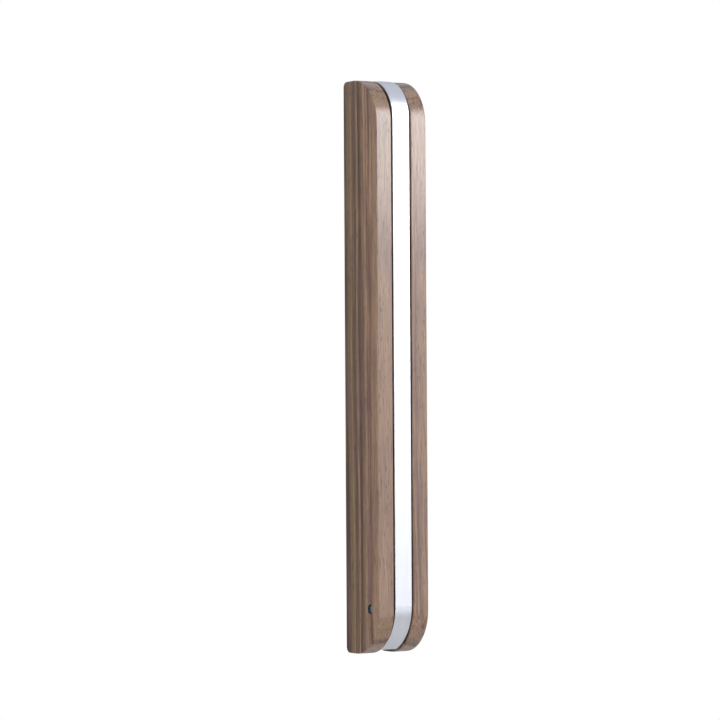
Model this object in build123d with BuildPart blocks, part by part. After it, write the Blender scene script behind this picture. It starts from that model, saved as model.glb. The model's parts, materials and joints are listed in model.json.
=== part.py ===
from build123d import *
from math import cos, radians, sin
import os

# A wall-hung trouser press that folds out. Two walnut cheeks stand either side of an arm faced with an
# aluminium band. The arm turns down about a pin near the bottom until it stands out level from the wall, and
# a felt-lined bar hinged inside it clamps the trousers against the band.
#
# Frame: X across the case, Y = 0 on the wall with the front towards -Y, Z up with Z = 0 half way between the
# two wall screws, which is also half way up the case. Millimetres.

# ---- driving dimensions ---------------------------------------------------------------------------------
CASE_H = 590.0          # height of the cheeks
CASE_D = 64.5           # depth from the wall to the front
CHEEK_T = 18.0          # thickness of one cheek
INNER_W = 23.6          # clear width between the cheeks
CORNER_R = 45.5         # front corners of the cheeks
BACK_R = 6.0            # back corners of the cheeks
CHEEK_EASE = 0.8        # eased edges of the cheeks

BAND_W = 20.0           # aluminium flat bar
BAND_T = 3.0
BAND_SET_BACK = 0.3     # how far the band's face lies behind the cheeks' front
BAND_TOP_R = 41.0       # outer radius of the band's top bend
BAND_TAIL_R = 50.0      # outer radius of the band's tail
TAIL_ANGLE = 67.0       # the tail ends here, so that it clears the wall as the arm turns
LEG_END_Y = -3.0        # end of the leg that runs back over the top
BAND_EASE = 0.5

PIVOT_UP = 47.0         # pivot above the cheeks' bottom
PIVOT_OUT = 47.0        # pivot in front of the wall
PIN_D = 10.0
PIN_SUNK = 2.5          # the pin's ends lie this far below the cheeks' outer faces
PIN_CHAMFER = 0.6
BORE_EASE = 0.4         # the bores' outer rims are eased by this much
BUSH_D = 12.0
BUSH_L = 9.0
RUNNING = 0.05          # radial clearance of a pin that turns in its hole
WASHER_D = 26.0
WASHER_T = 1.7

STOP_ANGLE = 30.0       # direction from the pivot to the stop pin, up from level
STOP_RADIUS = 28.0      # distance from the pivot to the stop pin
STOP_PIN_D = 5.0
SLEEVE_D = 9.0
STOP_GAP = 0.3          # left between the sleeve and the block at each end of the travel
STOP_PIN_IN = 8.0       # depth of the stop pin in each cheek
EDGE_BREAK = 0.4        # small chamfer on machined edges

SPINE_D = 18.0
SPINE_BOTTOM = -215.0
SCREW_SPACING = 380.0   # between the two wall screws
SCREW_HOLE_D = 5.2
CUP_D = 13.0
CUP_DEPTH = 4.0
CUP_MOUTH_D = 10.6
CUP_FLOOR_T = 1.0
DOWEL_D = 8.0
DOWEL_IN = 10.0         # depth of a dowel in each cheek
DOWEL_PLACES = (-150.0, 30.0, 235.0)

BLOCK_W = 20.0
BLOCK_TOP = 88.0        # top of the block above the pivot
BLOCK_BACK = 4.0        # back face of its upper part behind the pivot
BLOCK_STEP = (30.0, 41.0)       # the back slopes out between these heights above the pivot
BLOCK_STEP_IN = 5.0     # how far the slope starts in front of the stop's horn
BLOCK_TAIL_SHORT = 3.0  # degrees by which the block stops short of the band's tail
HUB_R = 15.7
HORN_R = 37.5           # reach of the two stop faces from the pivot
STUD_PLACES = (46.0, 60.0)      # studs above the pivot
STUD_D = 4.0
STUD_FLANGE_D = 5.5
STUD_FLANGE_T = 0.8
STUD_PROUD = 0.8        # length of stud past its nut
STUD_CLEARANCE = 0.2
NUT_ACROSS = 7.0
NUT_T = 3.2
NUT_POCKET_D = 9.0
NUT_POCKET_DEPTH = 5.0

FELT_T = 2.0
FELT_W = 18.0
FELT_GAP = 0.2          # between the two felts when the bar is shut
FELT_CORNER_R = 1.5
BAR_FELT_SHORT = 4.0    # the bar's felt starts this far above the bar's end
BAR_W = 20.0
BAR_T = 8.0
BAR_TOP = 262.0
BAR_BOTTOM = -150.0
BAR_CORNER_R = 4.0
BAR_EASE = 0.8
TONGUE_W = 10.0
SLOT_W = 10.4
SLOT_BELOW_JAW = 10.0
SLOT_FRONT_GAP = 1.0
JAW_UP = 80.0           # jaw pin above the pivot
JAW_PIN_D = 4.0
SHOULDER_GAP = 0.4      # between the bar's shoulders and the clevis
HINGE_PLATE_T = 2.0
HINGE_PLATE_TOP = -120.0
HINGE_SCREW_PLACES = (-142.0, -128.0)
FELT_TOP = 232.0
KEEPER_Z = 241.0
KEEPER_D = 10.0
BAR_MAGNET_D = 8.0
BAR_MAGNET_L = 4.6
BAR_MAGNET_IN = 2.8     # depth of the bar's magnet in the bar
KNOB_Z = 253.0
KNOB_D = 12.0
KNOB_H = 5.0
KNOB_WAIST = (0.3, 0.3)         # the waist's radius and height, as shares of the knob's diameter and height
KNOB_RIM = 0.75         # the flare ends at this share of the knob's height
KNOB_SCREW_IN = 3.6     # depth of the screw's hole in the knob

POT_D = 16.0            # catch magnet
POT_T = 6.0
POT_CHAMFER = 0.5
POT_HOLE_D = 3.2
POT_SINK_D = 7.2
CATCH_GAP = 0.3         # between the magnet and the strike plate
PLATE_T = 1.5
PLATE_L = 14.0
PLATE_CORNER_R = 2.0
RIVET_D = 3.0
RIVET_HEAD_D = 5.6
RIVET_SPACING = 8.0

# Countersunk screws.
MAGNET_SCREW = {"head_d": 6.6, "head_h": 1.9, "shank_d": 3.0, "length": 20.0}
HINGE_SCREW = {"head_d": 5.1, "head_h": 1.3, "shank_d": 2.5, "length": 8.2}
KNOB_SCREW = {"head_d": 5.6, "head_h": 1.3, "shank_d": 3.0, "length": BAR_T + 3.4}
SCREW_POINT = 0.6       # length of a screw's point, as a share of its shank's diameter
RECESS_W = 0.48         # width of a screw's cross recess, as a share of its head
RECESS_SLOT = 0.22      # width of one slot of the cross, as a share of the whole
RECESS_DEPTH = 0.66     # depth of the recess, as a share of the head's height
SINK_ROOM = 0.1         # a countersink in the bar and its hinge is this much wider than the head, in radius
PILOT_DEPTH = {"magnet": 16.0, "hinge": 6.5}

# ---- places worked out from them ------------------------------------------------------------------------
HALF_W = INNER_W / 2 + CHEEK_T
TOP_Z = CASE_H / 2
BOTTOM_Z = -CASE_H / 2
PIVOT_Y = -PIVOT_OUT
PIVOT_Z = BOTTOM_Z + PIVOT_UP
BAND_FRONT_Y = -CASE_D + BAND_SET_BACK
BAND_INNER_Y = BAND_FRONT_Y + BAND_T
TAIL_CENTRE = (BAND_FRONT_Y + BAND_TAIL_R, BOTTOM_Z + BAND_TAIL_R)
BEND_CENTRE = (BAND_FRONT_Y + BAND_TOP_R, TOP_Z - BAND_TOP_R)
LEG_INNER_Z = TOP_Z - BAND_T
STOP_Y = PIVOT_Y + STOP_RADIUS * cos(radians(STOP_ANGLE))
STOP_Z = PIVOT_Z + STOP_RADIUS * sin(radians(STOP_ANGLE))
BAR_FRONT_Y = BAND_INNER_Y + 2 * FELT_T + FELT_GAP
BAR_BACK_Y = BAR_FRONT_Y + BAR_T
JAW_Y = BAR_FRONT_Y + BAR_T / 2
JAW_Z = PIVOT_Z + JAW_UP
SPINE_MID_Y = -SPINE_D / 2
SPINE_TOP = LEG_INNER_Z - PLATE_T - CATCH_GAP - POT_T
POT_Y = -9.0
PLATE_Y = -11.0
RIVET_PLACES = (PLATE_Y - RIVET_SPACING / 2, PLATE_Y + RIVET_SPACING / 2)
SCREW_PLACES = (-SCREW_SPACING / 2, SCREW_SPACING / 2)
BLOCK_BACK_Y = PIVOT_Y + BLOCK_BACK
NUT_FLOOR_Y = BLOCK_BACK_Y - NUT_POCKET_DEPTH
STUD_END_Y = NUT_FLOOR_Y + NUT_T + STUD_PROUD
SHOULDER_Z = PIVOT_Z + BLOCK_TOP + SHOULDER_GAP

os.makedirs("parts", exist_ok=True)


def across(x, y, z, towards=1):
    """A plane at a point, facing along X."""
    return Plane(origin=(x, y, z), x_dir=(0, 1, 0), z_dir=(towards, 0, 0))


def rod(x_start, x_end, y, z, diameter):
    """A rod across the case, added to the piece being made."""
    with BuildSketch(Plane.YZ.offset(x_start)) as section:
        with Locations((y, z)):
            Circle(diameter / 2)
    extrude(section.sketch, amount=x_end - x_start)


def screw(head_plane, head_d, head_h, shank_d, length):
    """A countersunk screw: its head is level with head_plane, and it points against the plane's normal."""
    with BuildSketch(Plane(head_plane.origin, head_plane.x_dir, head_plane.y_dir)) as section:
        with BuildLine():
            Polyline(
                (0, 0),
                (head_d / 2, 0),
                (shank_d / 2, head_h),
                (shank_d / 2, length - shank_d * SCREW_POINT),
                (0, length),
                close=True,
            )
        make_face()
    revolve(section.sketch, axis=Axis(head_plane.origin, head_plane.z_dir))
    recess = head_d * RECESS_W
    with BuildSketch(head_plane) as cross:
        Rectangle(recess, recess * RECESS_SLOT)
        Rectangle(recess * RECESS_SLOT, recess)
    extrude(cross.sketch, amount=-head_h * RECESS_DEPTH, mode=Mode.SUBTRACT)


# ---- case -----------------------------------------------------------------------------------------------
# The cheeks: rounded boards, bored right through for the pivot pin and part way for the stop pin and dowels.
for side, name in ((-1, "left_cheek"), (1, "right_cheek")):
    inner_x = side * INNER_W / 2
    with BuildPart() as cheek:
        with BuildSketch(Plane.YZ.offset(min(inner_x, side * HALF_W))) as outline:
            with Locations((-CASE_D / 2, 0)):
                Rectangle(CASE_D, CASE_H)
            fillet(outline.vertices().group_by(Axis.X)[0], CORNER_R)
            fillet(outline.vertices().group_by(Axis.X)[-1], BACK_R)
        extrude(amount=CHEEK_T)
        fillet(cheek.faces().filter_by(Axis.X).edges(), CHEEK_EASE)
        with Locations(across(side * HALF_W, PIVOT_Y, PIVOT_Z, side)):
            CounterSinkHole(PIN_D / 2, PIN_D / 2 + BORE_EASE, CHEEK_T, 90)
        with Locations(across(inner_x, STOP_Y, STOP_Z, -side)):
            Hole(STOP_PIN_D / 2, STOP_PIN_IN)
        with Locations(*[across(inner_x, SPINE_MID_Y, z, -side) for z in DOWEL_PLACES]):
            Hole(DOWEL_D / 2, DOWEL_IN)
    cheek.part.label = name
    export_step(cheek.part, f"parts/{name}.step")

# The spine: a batten glued between the cheeks, flush with their backs. Two screws through it hold the press
# on the wall, and their heads sit in brass cups.
with BuildPart() as spine:
    with BuildSketch(Plane.XZ):
        with Locations((0, (SPINE_BOTTOM + SPINE_TOP) / 2)):
            Rectangle(INNER_W, SPINE_TOP - SPINE_BOTTOM)
    extrude(amount=SPINE_D)
    for z in SCREW_PLACES:
        with Locations(Plane(origin=(0, -SPINE_D, z), x_dir=(1, 0, 0), z_dir=(0, -1, 0))):
            CounterBoreHole(SCREW_HOLE_D / 2, CUP_D / 2, CUP_DEPTH, SPINE_D)
    for z in DOWEL_PLACES:
        with Locations(across(INNER_W / 2, SPINE_MID_Y, z)):
            Hole(DOWEL_D / 2, INNER_W)
    with Locations(Plane(origin=(0, POT_Y, SPINE_TOP), x_dir=(1, 0, 0), z_dir=(0, 0, 1))):
        Hole(MAGNET_SCREW["shank_d"] / 2, PILOT_DEPTH["magnet"])
spine.part.label = "spine"
export_step(spine.part, "parts/spine.step")

with BuildPart() as spine_dowels:
    for z in DOWEL_PLACES:
        rod(-INNER_W / 2 - DOWEL_IN, INNER_W / 2 + DOWEL_IN, SPINE_MID_Y, z, DOWEL_D)
spine_dowels.part.label = "spine_dowels"
export_step(spine_dowels.part, "parts/spine_dowels.step")

with BuildPart() as screw_cups:
    for z in SCREW_PLACES:
        with BuildSketch(Plane(origin=(0, -SPINE_D, z), x_dir=(1, 0, 0), z_dir=(0, 0, 1))):
            with BuildLine():
                Polyline(
                    (SCREW_HOLE_D / 2, CUP_DEPTH),
                    (CUP_D / 2, CUP_DEPTH),
                    (CUP_D / 2, 0),
                    (CUP_MOUTH_D / 2, 0),
                    (SCREW_HOLE_D / 2, CUP_DEPTH - CUP_FLOOR_T),
                    close=True,
                )
            make_face()
        revolve(axis=Axis((0, -SPINE_D, z), (0, 1, 0)))
screw_cups.part.label = "screw_cups"
export_step(screw_cups.part, "parts/screw_cups.step")

# The pivot pin is pressed through both cheeks, and its ends stop below their outer faces.
with BuildPart() as pivot_pin:
    rod(-HALF_W + PIN_SUNK, HALF_W - PIN_SUNK, PIVOT_Y, PIVOT_Z, PIN_D)
    chamfer(pivot_pin.faces().filter_by(Axis.X).edges(), PIN_CHAMFER)
pivot_pin.part.label = "pivot_pin"
export_step(pivot_pin.part, "parts/pivot_pin.step")

for side, name in ((-1, "washer_left"), (1, "washer_right")):
    washer_x = min(side * INNER_W / 2, side * (INNER_W / 2 - WASHER_T))
    with BuildPart() as washer:
        with BuildSketch(Plane.YZ.offset(washer_x)):
            with Locations((PIVOT_Y, PIVOT_Z)):
                Circle(WASHER_D / 2)
                Circle(PIN_D / 2 + 2 * RUNNING, mode=Mode.SUBTRACT)
        extrude(amount=WASHER_T)
    washer.part.label = name
    export_step(washer.part, f"parts/{name}.step")

# The stop pin crosses the case behind the pivot, with its ends in both cheeks and a rubber sleeve between.
with BuildPart() as stop_pin:
    rod(-INNER_W / 2 - STOP_PIN_IN, INNER_W / 2 + STOP_PIN_IN, STOP_Y, STOP_Z, STOP_PIN_D)
    chamfer(stop_pin.faces().filter_by(Axis.X).edges(), EDGE_BREAK)
stop_pin.part.label = "stop_pin"
export_step(stop_pin.part, "parts/stop_pin.step")

with BuildPart() as stop_sleeve:
    rod(-BLOCK_W / 2, BLOCK_W / 2, STOP_Y, STOP_Z, SLEEVE_D)
    with Locations(across(BLOCK_W / 2, STOP_Y, STOP_Z)):
        Hole(STOP_PIN_D / 2, BLOCK_W)
stop_sleeve.part.label = "stop_sleeve"
export_step(stop_sleeve.part, "parts/stop_sleeve.step")

# The pot magnet is screwed to the top end of the spine.
pot_top = Plane(origin=(0, POT_Y, SPINE_TOP + POT_T), x_dir=(1, 0, 0), z_dir=(0, 0, 1))
with BuildPart() as catch_magnet:
    with BuildSketch(pot_top):
        Circle(POT_D / 2)
    extrude(amount=-POT_T)
    chamfer(catch_magnet.edges().group_by(Axis.Z)[-1], POT_CHAMFER)
    with Locations(pot_top):
        CounterSinkHole(POT_HOLE_D / 2, POT_SINK_D / 2, POT_T, 90)
catch_magnet.part.label = "catch_magnet"
export_step(catch_magnet.part, "parts/catch_magnet.step")

with BuildPart() as magnet_screw:
    screw(pot_top, **MAGNET_SCREW)
magnet_screw.part.label = "magnet_screw"
export_step(magnet_screw.part, "parts/magnet_screw.step")

# ---- arm ------------------------------------------------------------------------------------------------
# The band: one flat bar bent round both corners. Its leg runs back over the top to the wall, and becomes an
# upturned end when the arm is down.
with BuildPart() as arm_band:
    with BuildSketch(Plane.YZ.offset(-BAND_W / 2)):
        with BuildLine():
            tail = CenterArc(TAIL_CENTRE, BAND_TAIL_R, 180 + TAIL_ANGLE, -TAIL_ANGLE)
            front = Line(tail @ 1, (BAND_FRONT_Y, BEND_CENTRE[1]))
            bend = CenterArc(BEND_CENTRE, BAND_TOP_R, 180, -90)
            leg = Line(bend @ 1, (LEG_END_Y, TOP_Z))
            leg_end = Line(leg @ 1, (LEG_END_Y, LEG_INNER_Z))
            leg_inner = Line(leg_end @ 1, (BEND_CENTRE[0], LEG_INNER_Z))
            bend_inner = CenterArc(BEND_CENTRE, BAND_TOP_R - BAND_T, 90, 90)
            front_inner = Line(bend_inner @ 1, (BAND_INNER_Y, TAIL_CENTRE[1]))
            tail_inner = CenterArc(TAIL_CENTRE, BAND_TAIL_R - BAND_T, 180, TAIL_ANGLE)
            Line(tail_inner @ 1, tail @ 0)
        make_face()
    extrude(amount=BAND_W)
    fillet(arm_band.faces().filter_by(Axis.X).edges(), BAND_EASE)
    for y in RIVET_PLACES:
        with Locations(Plane(origin=(0, y, LEG_INNER_Z), z_dir=(0, 0, -1))):
            Hole(RIVET_D / 2, BAND_T)
arm_band.part.label = "arm_band"
export_step(arm_band.part, "parts/arm_band.step")

# Studs welded to the band's inner face, so that nothing shows outside.
with BuildPart() as band_studs:
    for up in STUD_PLACES:
        stud_base = Plane(origin=(0, BAND_INNER_Y, PIVOT_Z + up), x_dir=(1, 0, 0), z_dir=(0, 1, 0))
        with BuildSketch(stud_base):
            Circle(STUD_FLANGE_D / 2)
        extrude(amount=STUD_FLANGE_T)
        with BuildSketch(stud_base):
            Circle(STUD_D / 2)
        extrude(amount=STUD_END_Y - BAND_INNER_Y)
band_studs.part.label = "band_studs"
export_step(band_studs.part, "parts/band_studs.step")

# The pivot block fits inside the band's tail. Its hub takes the bushes, a notch round the stop pin sets the
# travel, and a slot at the top is the press bar's clevis.
half_sleeve = SLEEVE_D / 2 + STOP_GAP


def beside_stop(angle, side, radius):
    """A point on the stop face that lies beside the stop pin when the pin is at an angle round the pivot."""
    along = (cos(radians(angle)), sin(radians(angle)))
    aside = (-along[1] * side * half_sleeve, along[0] * side * half_sleeve)
    return (PIVOT_Y + along[0] * radius + aside[0], PIVOT_Z + along[1] * radius + aside[1])


face_start = (HUB_R**2 - half_sleeve**2) ** 0.5
upper_in = beside_stop(STOP_ANGLE, 1, face_start)
upper_out = beside_stop(STOP_ANGLE, 1, HORN_R)
lower_in = beside_stop(STOP_ANGLE - 90, -1, face_start)
lower_out = beside_stop(STOP_ANGLE - 90, -1, HORN_R)
hub_angle = radians(STOP_ANGLE - 45)
hub_side = (PIVOT_Y + HUB_R * cos(hub_angle), PIVOT_Z + HUB_R * sin(hub_angle))
block_tail = TAIL_ANGLE - BLOCK_TAIL_SHORT
block_tail_r = BAND_TAIL_R - BAND_T
tail_point = (
    TAIL_CENTRE[0] - block_tail_r * cos(radians(block_tail)),
    TAIL_CENTRE[1] - block_tail_r * sin(radians(block_tail)),
)
with BuildPart() as pivot_block:
    with BuildSketch(Plane.YZ.offset(-BLOCK_W / 2)):
        with BuildLine():
            Polyline(
                (BAND_INNER_Y, TAIL_CENTRE[1]),
                (BAND_INNER_Y, PIVOT_Z + BLOCK_TOP),
                (BLOCK_BACK_Y, PIVOT_Z + BLOCK_TOP),
                (BLOCK_BACK_Y, PIVOT_Z + BLOCK_STEP[1]),
                (upper_out[0] - BLOCK_STEP_IN, PIVOT_Z + BLOCK_STEP[0]),
                upper_out,
                upper_in,
            )
            ThreePointArc(upper_in, hub_side, lower_in)
            Polyline(lower_in, lower_out, tail_point)
            CenterArc(TAIL_CENTRE, block_tail_r, 180 + block_tail, -block_tail)
        make_face()
    extrude(amount=BLOCK_W)
    chamfer(pivot_block.faces().filter_by(Axis.X).edges(), EDGE_BREAK)
    with Locations(across(BLOCK_W / 2, PIVOT_Y, PIVOT_Z)):
        Hole(BUSH_D / 2, BLOCK_W)
    for up in STUD_PLACES:
        with Locations(Plane(origin=(0, BLOCK_BACK_Y, PIVOT_Z + up), x_dir=(1, 0, 0), z_dir=(0, 1, 0))):
            CounterBoreHole(STUD_D / 2 + STUD_CLEARANCE, NUT_POCKET_D / 2, NUT_POCKET_DEPTH, CASE_D)
        with Locations(Plane(origin=(0, BAND_INNER_Y, PIVOT_Z + up), x_dir=(1, 0, 0), z_dir=(0, -1, 0))):
            Hole(STUD_FLANGE_D / 2 + STUD_CLEARANCE, STUD_FLANGE_T + STUD_CLEARANCE)
    slot_bottom = JAW_Z - SLOT_BELOW_JAW
    slot_front = BAR_FRONT_Y - SLOT_FRONT_GAP
    slot_top = PIVOT_Z + BLOCK_TOP
    with BuildSketch(Plane.XY.offset(slot_bottom)):
        with Locations((0, (slot_front + BLOCK_BACK_Y) / 2)):
            Rectangle(SLOT_W, BLOCK_BACK_Y - slot_front)
    extrude(amount=slot_top - slot_bottom, mode=Mode.SUBTRACT)
    with Locations(across(BLOCK_W / 2, JAW_Y, JAW_Z)):
        Hole(JAW_PIN_D / 2, BLOCK_W)
pivot_block.part.label = "pivot_block"
export_step(pivot_block.part, "parts/pivot_block.step")

with BuildPart() as block_nuts:
    for up in STUD_PLACES:
        with BuildSketch(Plane(origin=(0, NUT_FLOOR_Y, PIVOT_Z + up), x_dir=(1, 0, 0), z_dir=(0, 1, 0))):
            RegularPolygon(NUT_ACROSS / 2, 6, major_radius=False)
            Circle(STUD_D / 2, mode=Mode.SUBTRACT)
        extrude(amount=NUT_T)
block_nuts.part.label = "block_nuts"
export_step(block_nuts.part, "parts/block_nuts.step")

for side, name in ((-1, "bush_left"), (1, "bush_right")):
    bush_x = min(side * BLOCK_W / 2, side * (BLOCK_W / 2 - BUSH_L))
    with BuildPart() as bush:
        with BuildSketch(Plane.YZ.offset(bush_x)):
            with Locations((PIVOT_Y, PIVOT_Z)):
                Circle(BUSH_D / 2)
                Circle(PIN_D / 2 + RUNNING, mode=Mode.SUBTRACT)
        extrude(amount=BUSH_L)
    bush.part.label = name
    export_step(bush.part, f"parts/{name}.step")

# The strike plate under the band's leg, with two flush rivets.
with BuildPart() as strike_plate:
    with BuildSketch(Plane.XY.offset(LEG_INNER_Z)):
        with Locations((0, PLATE_Y)):
            RectangleRounded(BAND_W - 2 * BAND_EASE, PLATE_L, PLATE_CORNER_R)
    extrude(amount=-PLATE_T)
    for y in RIVET_PLACES:
        with Locations(Plane(origin=(0, y, LEG_INNER_Z - PLATE_T), z_dir=(0, 0, -1))):
            CounterSinkHole(RIVET_D / 2, RIVET_HEAD_D / 2, PLATE_T, 90)
strike_plate.part.label = "strike_plate"
export_step(strike_plate.part, "parts/strike_plate.step")

with BuildPart() as strike_rivets:
    for y in RIVET_PLACES:
        with BuildSketch(Plane(origin=(0, y, LEG_INNER_Z - PLATE_T), x_dir=(1, 0, 0), z_dir=(0, -1, 0))):
            with BuildLine():
                Polyline(
                    (0, 0),
                    (RIVET_HEAD_D / 2, 0),
                    (RIVET_D / 2, (RIVET_HEAD_D - RIVET_D) / 2),
                    (RIVET_D / 2, PLATE_T + BAND_T),
                    (0, PLATE_T + BAND_T),
                    close=True,
                )
            make_face()
        revolve(axis=Axis((0, y, LEG_INNER_Z), (0, 0, 1)))
strike_rivets.part.label = "strike_rivets"
export_step(strike_rivets.part, "parts/strike_rivets.step")

with BuildPart() as band_felt:
    with BuildSketch(Plane(origin=(0, BAND_INNER_Y, 0), x_dir=(1, 0, 0), z_dir=(0, 1, 0))):
        with Locations((0, -(BAR_BOTTOM + FELT_TOP) / 2)):
            RectangleRounded(FELT_W, FELT_TOP - BAR_BOTTOM, FELT_CORNER_R)
    extrude(amount=FELT_T)
band_felt.part.label = "band_felt"
export_step(band_felt.part, "parts/band_felt.step")

with BuildPart() as keeper_disc:
    with BuildSketch(Plane(origin=(0, BAND_INNER_Y, KEEPER_Z), x_dir=(1, 0, 0), z_dir=(0, 1, 0))):
        Circle(KEEPER_D / 2)
    extrude(amount=FELT_T)
    chamfer(keeper_disc.edges().group_by(Axis.Y)[-1], EDGE_BREAK)
keeper_disc.part.label = "keeper_disc"
export_step(keeper_disc.part, "parts/keeper_disc.step")

with BuildPart() as jaw_pin:
    rod(-BLOCK_W / 2, BLOCK_W / 2, JAW_Y, JAW_Z, JAW_PIN_D)
jaw_pin.part.label = "jaw_pin"
export_step(jaw_pin.part, "parts/jaw_pin.step")

# ---- press bar ------------------------------------------------------------------------------------------
knob_screw_plane = Plane(origin=(0, BAR_FRONT_Y, KNOB_Z), x_dir=(1, 0, 0), z_dir=(0, -1, 0))
with BuildPart() as press_bar:
    with BuildSketch(Plane.XZ.offset(-BAR_BACK_Y)) as bar_outline:
        with Locations((0, (BAR_BOTTOM + BAR_TOP) / 2)):
            Rectangle(BAR_W, BAR_TOP - BAR_BOTTOM)
        fillet(bar_outline.vertices().group_by(Axis.Y)[-1], BAR_CORNER_R)
    extrude(amount=BAR_T)
    fillet(press_bar.faces().filter_by(Axis.Y).edges(), BAR_EASE)
    with Locations(Plane(origin=(0, BAR_FRONT_Y, KEEPER_Z), x_dir=(1, 0, 0), z_dir=(0, -1, 0))):
        Hole(BAR_MAGNET_D / 2, BAR_MAGNET_IN)
    with Locations(knob_screw_plane):
        CounterSinkHole(KNOB_SCREW["shank_d"] / 2, KNOB_SCREW["head_d"] / 2 + SINK_ROOM, BAR_T, 90)
    for z in HINGE_SCREW_PLACES:
        with Locations(Plane(origin=(0, BAR_BACK_Y, z), x_dir=(1, 0, 0), z_dir=(0, 1, 0))):
            Hole(HINGE_SCREW["shank_d"] / 2, PILOT_DEPTH["hinge"])
press_bar.part.label = "press_bar"
export_step(press_bar.part, "parts/press_bar.step")

# The end fitting: a tongue on the jaw pin, a shoulder as wide as the bar and a plate behind the batten.
hinge_sink_r = HINGE_SCREW["head_d"] / 2 + SINK_ROOM
with BuildPart() as bar_hinge:
    with BuildSketch(Plane.YZ.offset(-TONGUE_W / 2)):
        with Locations((JAW_Y, JAW_Z)):
            Circle(BAR_T / 2)
        with Locations((JAW_Y, (JAW_Z + BAR_BOTTOM) / 2)):
            Rectangle(BAR_T, BAR_BOTTOM - JAW_Z)
    extrude(amount=TONGUE_W)
    with BuildSketch(Plane.XY.offset(SHOULDER_Z)):
        with Locations((0, JAW_Y)):
            Rectangle(BAR_W, BAR_T)
    extrude(amount=BAR_BOTTOM - SHOULDER_Z)
    with BuildSketch(Plane.XZ.offset(-BAR_BACK_Y - HINGE_PLATE_T)) as plate_face:
        with Locations((0, (SHOULDER_Z + HINGE_PLATE_TOP) / 2)):
            Rectangle(BAR_W, HINGE_PLATE_TOP - SHOULDER_Z)
        fillet(plate_face.vertices().group_by(Axis.Y)[-1], BAR_CORNER_R)
    extrude(amount=HINGE_PLATE_T)
    with Locations(across(TONGUE_W / 2, JAW_Y, JAW_Z)):
        Hole(JAW_PIN_D / 2 + RUNNING, TONGUE_W)
    for z in HINGE_SCREW_PLACES:
        with Locations(Plane(origin=(0, BAR_BACK_Y + HINGE_PLATE_T, z), x_dir=(1, 0, 0), z_dir=(0, 1, 0))):
            CounterSinkHole(HINGE_SCREW["shank_d"] / 2, hinge_sink_r, HINGE_PLATE_T, 90)
bar_hinge.part.label = "bar_hinge"
export_step(bar_hinge.part, "parts/bar_hinge.step")

with BuildPart() as hinge_screws:
    for z in HINGE_SCREW_PLACES:
        head = Plane(origin=(0, BAR_BACK_Y + HINGE_PLATE_T, z), x_dir=(1, 0, 0), z_dir=(0, 1, 0))
        screw(head, **HINGE_SCREW)
hinge_screws.part.label = "hinge_screws"
export_step(hinge_screws.part, "parts/hinge_screws.step")

with BuildPart() as bar_felt:
    with BuildSketch(Plane(origin=(0, BAR_FRONT_Y - FELT_T, 0), x_dir=(1, 0, 0), z_dir=(0, 1, 0))):
        with Locations((0, -(BAR_BOTTOM + BAR_FELT_SHORT + FELT_TOP) / 2)):
            RectangleRounded(FELT_W, FELT_TOP - BAR_BOTTOM - BAR_FELT_SHORT, FELT_CORNER_R)
    extrude(amount=FELT_T)
bar_felt.part.label = "bar_felt"
export_step(bar_felt.part, "parts/bar_felt.step")

magnet_floor = (0, BAR_FRONT_Y + BAR_MAGNET_IN, KEEPER_Z)
with BuildPart() as bar_magnet:
    with BuildSketch(Plane(origin=magnet_floor, x_dir=(1, 0, 0), z_dir=(0, -1, 0))):
        Circle(BAR_MAGNET_D / 2)
    extrude(amount=BAR_MAGNET_L)
bar_magnet.part.label = "bar_magnet"
export_step(bar_magnet.part, "parts/bar_magnet.step")

# The knob that lifts the bar, turned with a waist, and the screw that holds it from the felt side.
with BuildPart() as lift_knob:
    with BuildSketch(Plane(origin=(0, BAR_BACK_Y, KNOB_Z), x_dir=(1, 0, 0), z_dir=(0, 0, 1))):
        with BuildLine():
            base = Line((0, 0), (KNOB_D * KNOB_WAIST[0], 0))
            waist = Line(base @ 1, (KNOB_D * KNOB_WAIST[0], KNOB_H * KNOB_WAIST[1]))
            flare = RadiusArc(waist @ 1, (KNOB_D / 2, KNOB_H * KNOB_RIM), -KNOB_H)
            rim = Line(flare @ 1, (KNOB_D / 2 - EDGE_BREAK, KNOB_H))
            top = Line(rim @ 1, (0, KNOB_H))
            Line(top @ 1, (0, 0))
        make_face()
    revolve(axis=Axis((0, BAR_BACK_Y, KNOB_Z), (0, 1, 0)))
    with Locations(Plane(origin=(0, BAR_BACK_Y, KNOB_Z), x_dir=(1, 0, 0), z_dir=(0, -1, 0))):
        Hole(KNOB_SCREW["shank_d"] / 2, KNOB_SCREW_IN)
lift_knob.part.label = "lift_knob"
export_step(lift_knob.part, "parts/lift_knob.step")

with BuildPart() as knob_screw:
    screw(knob_screw_plane, **KNOB_SCREW)
knob_screw.part.label = "knob_screw"
export_step(knob_screw.part, "parts/knob_screw.step")
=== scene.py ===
import json
import math

import bpy
from bpy.props import FloatProperty, FloatVectorProperty, PointerProperty
from mathutils import Matrix, Vector

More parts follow.
